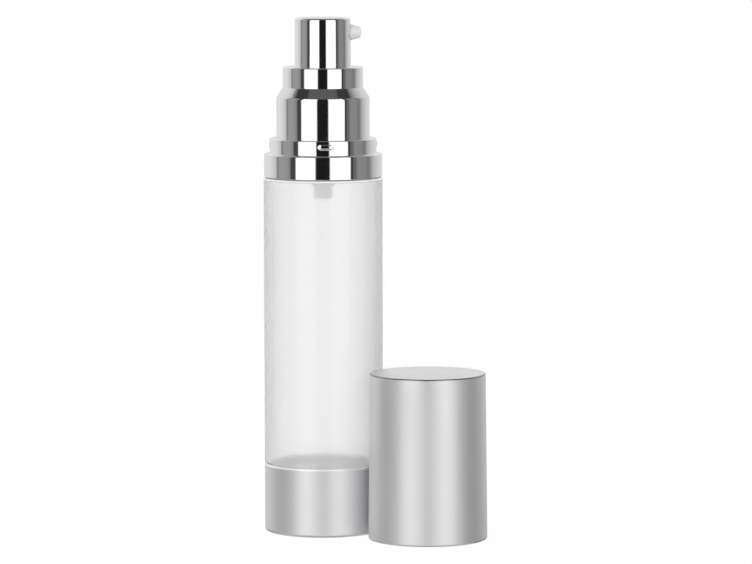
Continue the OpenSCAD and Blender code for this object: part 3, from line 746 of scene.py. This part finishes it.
def make_spring():
    """A round wire along a helix, whose end turns lie closer, between the guide and the stem."""
    rings, sides = SPRING_RINGS, SPRING_SIDES
    rise = spring_high.z - spring_low.z - 2 * SPRING_WIRE_R
    mid_pitch = (rise - 2 * SPRING_END_PITCH) / (SPRING_TURNS - 2)
    bm = bmesh.new()
    loops = []
    for i in range(rings * SPRING_TURNS + 1):
        turn = i / rings
        z = (spring_low.z + SPRING_WIRE_R + SPRING_END_PITCH * min(turn, 1)
             + mid_pitch * max(0, min(turn - 1, SPRING_TURNS - 2))
             + SPRING_END_PITCH * max(0, turn - SPRING_TURNS + 1))
        a = 2 * pi * turn
        loop = []
        for k in range(sides):
            b = 2 * pi * k / sides
            r = SPRING_R + SPRING_WIRE_R * cos(b)
            up = z + SPRING_WIRE_R * sin(b)
            loop.append(bm.verts.new((r * cos(a) * MM, r * sin(a) * MM, up * MM)))
        loops.append(loop)
    for low, high in zip(loops, loops[1:]):
        for k in range(sides):
            bm.faces.new((low[k], low[(k + 1) % sides], high[(k + 1) % sides], high[k]))
    bm.faces.new(loops[0][::-1])
    bm.faces.new(loops[-1])
    bmesh.ops.recalc_face_normals(bm, faces=bm.faces)
    mesh = bpy.data.meshes.new("steel_spring")
    bm.to_mesh(mesh)
    bm.free()
    mesh.polygons.foreach_set("use_smooth", [True] * len(mesh.polygons))
    mesh.set_sharp_from_angle(angle=SHARP_ANGLE * 2)
    mesh.materials.append(steel)
    piece = bpy.data.objects.new("steel_spring", mesh)
    bpy.context.scene.collection.objects.link(piece)
    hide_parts("return_spring")
    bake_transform(piece)
    return piece


make_tube()
make_follower()
make_housing()
make_base_cup()
make_collar()
make_shroud()
make_button()
make_nozzle()
make_overcap()
make_spring()

NODE_MATERIALS = {
    "base_plug": natural, "snap_closure": natural, "stem_guide": natural,
    "piston_rod": natural, "stem": natural, "button_core": natural,
    "pump_piston": seal, "neck_gasket": gasket,
    "inlet_ball": steel, "outlet_ball": steel,
}
for node, material in NODE_MATERIALS.items():
    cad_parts[node].material_slots[0].material = material


# Studio: floor, lamps, world and camera

WHITE = 1.0
# How far the floor shows the camera plain white; the rest of it takes the shadows
CAMERA_SHARE = 0.94
FLOOR_HALF = 4.0
FLOOR_COLOUR = (0.95, 0.95, 0.95, 1)

# Place, width across in metres and power in watts
LAMPS = {
    "key": ((-0.7, -0.8, 0.7), 0.7, 2.5),
    "fill": ((0.8, -0.7, 0.6), 0.7, 1.8),
}
LAMP_TARGET = (0, 0, 0.07)

SENSOR_MM = 36
LENS_MM = 215.4
CAMERA_PLACE = (0.01485, -1.266, 0.1947)
CAMERA_TURN = (radians(84.4), radians(0.1), radians(-0.01))

# Greys of the studio by the angle from the camera's side, positive towards +X.
# The walls, as upright mirrors show them
STUDIO_WALLS = [
    (-180, 0.62), (-160, 0.63), (-142, 0.66), (-123, 0.64), (-108, 0.51), (-103.5, 0.45),
    (-101, 0.21), (-97, 0.21), (-94, 0.285), (-78, 0.275), (-68, 0.22), (-65, 0.05),
    (-55, 0.05), (-53.5, 1.0), (-15, 1.0), (-13.5, 0.010), (13.2, 0.010), (14.8, 1.0),
    (55, 1.0), (56.5, 0.02), (60, 0.03), (62, 0.11), (67, 0.12), (73, 0.22), (92, 0.21),
    (99, 0.17), (104, 0.19), (112, 0.36), (120, 0.45), (138, 0.57), (160, 0.60), (180, 0.62),
]
# Below the band that upright mirrors show, which only satin and rounded edges see
STUDIO_BELOW = [
    (-180, 0.25), (-110, 0.15), (-70, 0.30), (-50, 0.65), (-20, 0.70), (0, 0.50), (20, 0.70),
    (50, 0.65), (70, 0.30), (90, 0.12), (110, 0.02), (160, 0.02), (175, 0.20), (180, 0.25),
]
# Above that band, as the cone and rounded edges show it
STUDIO_CEILING = [
    (-180, 0.26), (-130, 0.26), (-117, 0.40), (-107, 0.44), (-98, 0.168), (-90, 0.036),
    (-58, 0.036), (-51, 0.09), (51, 0.09), (58, 0.036), (90, 0.036), (98, 0.168),
    (107, 0.44), (117, 0.40), (130, 0.26), (180, 0.26),
]
# Behind the bottle, as seen through the frosted plastic
STUDIO_BACKLIGHT = [
    (-180, 1.0), (-174, 0.96), (-165, 0.87), (-150, 0.77), (-135, 0.72), (-110, 1.0),
    (110, 1.0), (135, 0.66), (150, 0.66), (165, 0.71), (172, 0.81), (176, 0.96), (180, 1.0),
]
MIRROR_STRENGTH = 1.25
# Each part fades in between two elevations. The zenith is over the object, the table under
# it, contact is the dark under its foot, and behind is a low bright field that flat tops show,
# which also fades in between two depths
BELOW_FROM = radians(-9)
BELOW_FULL = radians(-16)
CEILING_FROM = radians(36)
CEILING_FULL = radians(44)
ZENITH_GREY = 0.22
ZENITH_FROM = radians(74)
ZENITH_FULL = radians(82)
BEHIND_GREY = 1.2
BEHIND_FROM = radians(9)
BEHIND_FULL = radians(16)
BEHIND_EDGE = 0.88
BEHIND_CORE = 0.96
TABLE_GREY = 0.42
TABLE_FROM = radians(-30)
TABLE_FULL = radians(-45)
CONTACT_GREY = 0.06
CONTACT_FROM = radians(-62)
CONTACT_FULL = radians(-76)
DIFFUSE_GREY = 0.9


def greys(tree, turn, stops):
    """Greys by the angle round the studio; turn goes from 0 to 1."""
    node = tree.nodes.new("ShaderNodeValToRGB")
    tree.links.new(turn, node.inputs[0])
    elements = node.color_ramp.elements
    elements.remove(elements[1])
    for i, (angle, grey) in enumerate(stops):
        place = (angle + 180) / 360
        stop = elements[0] if i == 0 else elements.new(place)
        stop.position = place
        stop.color = (grey, grey, grey, 1)
    return node.outputs["Color"]


def mixed_colour(tree, factor, a, b):
    """Colour from a to b; each is a grey or the socket that it comes from."""
    node = tree.nodes.new("ShaderNodeMix")
    node.data_type = "RGBA"
    tree.links.new(factor, node.inputs["Factor"])
    for socket, value in ((node.inputs[6], a), (node.inputs[7], b)):
        if isinstance(value, (int, float)):
            socket.default_value = (value, value, value, 1)
        else:
            tree.links.new(value, socket)
    return node.outputs[2]


def make_world():
    """Studio that each kind of ray sees in its own way: camera white, the rest in greys."""
    world = bpy.data.worlds.new("studio")
    bpy.context.scene.world = world
    world.use_nodes = True
    world.cycles.sampling_method = "NONE"
    tree = world.node_tree
    background = tree.nodes["Background"]
    direction = tree.nodes.new("ShaderNodeTexCoord").outputs["Generated"]
    parts = tree.nodes.new("ShaderNodeSeparateXYZ")
    tree.links.new(direction, parts.inputs[0])
    towards = maths(tree, "MULTIPLY", parts.outputs["Y"], -1.0)
    azimuth = maths(tree, "ARCTAN2", parts.outputs["X"], towards)
    turn = maths(tree, "MULTIPLY_ADD", azimuth, 1 / (2 * pi), 0.5)
    elevation = maths(tree, "ARCSINE", parts.outputs["Z"])
    walls, lower = greys(tree, turn, STUDIO_WALLS), greys(tree, turn, STUDIO_BELOW)
    below = remapped(tree, elevation, 0, 1, BELOW_FROM, BELOW_FULL)
    seen = mixed_colour(tree, below, walls, lower)
    behind = maths(tree, "MULTIPLY", remapped(tree, elevation, 0, 1, BEHIND_FROM, BEHIND_FULL),
                   remapped(tree, parts.outputs["Y"], 0, 1, BEHIND_EDGE, BEHIND_CORE))
    seen = mixed_colour(tree, behind, seen, BEHIND_GREY)
    for grey, start, full in (
        (greys(tree, turn, STUDIO_CEILING), CEILING_FROM, CEILING_FULL),
        (ZENITH_GREY, ZENITH_FROM, ZENITH_FULL),
        (TABLE_GREY, TABLE_FROM, TABLE_FULL),
        (CONTACT_GREY, CONTACT_FROM, CONTACT_FULL),
    ):
        seen = mixed_colour(tree, remapped(tree, elevation, 0, 1, start, full), seen, grey)
    strong = tree.nodes.new("ShaderNodeVectorMath")
    strong.operation = "SCALE"
    strong.inputs["Scale"].default_value = MIRROR_STRENGTH
    tree.links.new(seen, strong.inputs[0])
    path = tree.nodes.new("ShaderNodeLightPath")
    colour = mixed_colour(tree, path.outputs["Is Glossy Ray"], DIFFUSE_GREY, strong.outputs[0])
    backlight = greys(tree, turn, STUDIO_BACKLIGHT)
    colour = mixed_colour(tree, path.outputs["Is Transmission Ray"], colour, backlight)
    colour = mixed_colour(tree, path.outputs["Is Camera Ray"], colour, WHITE)
    tree.links.new(colour, background.inputs["Color"])
    background.inputs["Strength"].default_value = 1.0


def make_floor():
    """Pale floor that fades into the white behind it and keeps the object's shadow."""
    corners = [(x * FLOOR_HALF, y * FLOOR_HALF, 0) for x, y in ((-1, -1), (1, -1), (1, 1), (-1, 1))]
    mesh = bpy.data.meshes.new("floor")
    mesh.from_pydata(corners, [], [(0, 1, 2, 3)])
    floor = bpy.data.objects.new("floor", mesh)
    bpy.context.scene.collection.objects.link(floor)
    material, tree, shader = new_material(
        "pale_floor", Base_Color=FLOOR_COLOUR, Roughness=0.8, Specular_IOR_Level=0.0)
    glow = tree.nodes.new("ShaderNodeEmission")
    glow.inputs["Strength"].default_value = WHITE
    mix = tree.nodes.new("ShaderNodeMixShader")
    path = tree.nodes.new("ShaderNodeLightPath")
    share = maths(tree, "MULTIPLY", path.outputs["Is Camera Ray"], CAMERA_SHARE)
    tree.links.new(share, mix.inputs[0])
    tree.links.new(shader.outputs[0], mix.inputs[1])
    tree.links.new(glow.outputs[0], mix.inputs[2])
    tree.links.new(mix.outputs[0], tree.nodes["Material Output"].inputs["Surface"])
    mesh.materials.append(material)
    floor.visible_glossy = False
    floor.visible_transmission = False


def make_lamp(name, place, size, power):
    """A soft lamp that mirrors don't show, because the world holds the studio that they see."""
    light = bpy.data.lights.new(name, "AREA")
    light.shape = "DISK"
    light.size = size
    light.energy = power
    lamp = bpy.data.objects.new(name, light)
    bpy.context.scene.collection.objects.link(lamp)
    lamp.location = place
    aim = Vector(LAMP_TARGET) - Vector(place)
    lamp.rotation_euler = aim.to_track_quat("-Z", "Y").to_euler()
    lamp.visible_glossy = False


def make_camera():
    """The photograph's view, fitted to its outlines."""
    data = bpy.data.cameras.new("camera")
    data.sensor_width = SENSOR_MM
    data.lens = LENS_MM
    data.clip_start = 0.05
    data.clip_end = 20
    camera = bpy.data.objects.new("camera", data)
    bpy.context.scene.collection.objects.link(camera)
    camera.location = CAMERA_PLACE
    camera.rotation_euler = CAMERA_TURN
    bpy.context.scene.camera = camera


make_world()
make_floor()
for lamp_name, (place, size, power) in LAMPS.items():
    make_lamp(lamp_name, place, size, power)
make_camera()
bpy.context.scene.view_settings.view_transform = "Standard"
